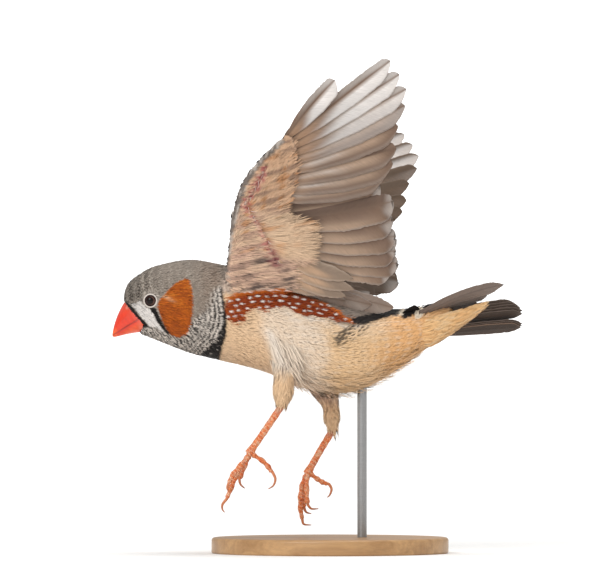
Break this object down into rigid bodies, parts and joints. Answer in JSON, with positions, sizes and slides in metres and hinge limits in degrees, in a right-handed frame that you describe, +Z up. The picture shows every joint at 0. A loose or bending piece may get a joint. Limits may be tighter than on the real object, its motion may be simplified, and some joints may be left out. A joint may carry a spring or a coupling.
{
  "type": "zebra finch",
  "caption": "Life-size male zebra finch in flight with both wings raised and legs hanging, held by a rod on a round base.",
  "frame": {"origin": "centre of the underside of the stand's round base, on the floor", "axes": "+Z up; the bird faces -X and its left side faces -Y"},
  "size_m": [0.1043, 0.0801, 0.1245],
  "materials": {
    "grey_plumage": "soft grey feathers, finely barred at the throat and breast",
    "buff_plumage": "soft cream to cinnamon-buff feathers, chestnut with white spots on the flanks",
    "wing_plumage": "taupe flight feathers with pale edges",
    "tail_plumage": "dark grey-brown tail feathers",
    "bill_red": "waxy orange-red horn",
    "leg_orange": "scaled orange skin",
    "claw_horn": "orange-brown horn",
    "eye": "wet dark red-brown eye",
    "stand_wood": "pale wood, satin",
    "stand_steel": "brushed steel"
  },
  "bodies": {
    "root": {"bill_lower": "bill_red", "bill_upper": "bill_red", "claw_left_hallux": "claw_horn", "claw_left_inner": "claw_horn", "claw_left_middle": "claw_horn", "claw_left_outer": "claw_horn", "claw_right_hallux": "claw_horn", "claw_right_inner": "claw_horn", "claw_right_middle": "claw_horn", "claw_right_outer": "claw_horn", "eye_left": "eye", "eye_right": "eye", "head": "grey_plumage", "neck": "grey_plumage", "rump": "buff_plumage", "shank_left": "leg_orange", "shank_right": "leg_orange", "stand_base": "stand_wood", "stand_rod": "stand_steel", "tail": "tail_plumage", "thigh_left": "buff_plumage", "thigh_right": "buff_plumage", "toe_left_hallux": "leg_orange", "toe_left_inner": "leg_orange", "toe_left_middle": "leg_orange", "toe_left_outer": "leg_orange", "toe_right_hallux": "leg_orange", "toe_right_inner": "leg_orange", "toe_right_middle": "leg_orange", "toe_right_outer": "leg_orange", "torso": "buff_plumage", "wing_left_arm": "wing_plumage", "wing_left_forearm": "wing_plumage", "wing_left_hand": "wing_plumage", "wing_right_arm": "wing_plumage", "wing_right_forearm": "wing_plumage", "wing_right_hand": "wing_plumage"}
  },
  "joints": []
}
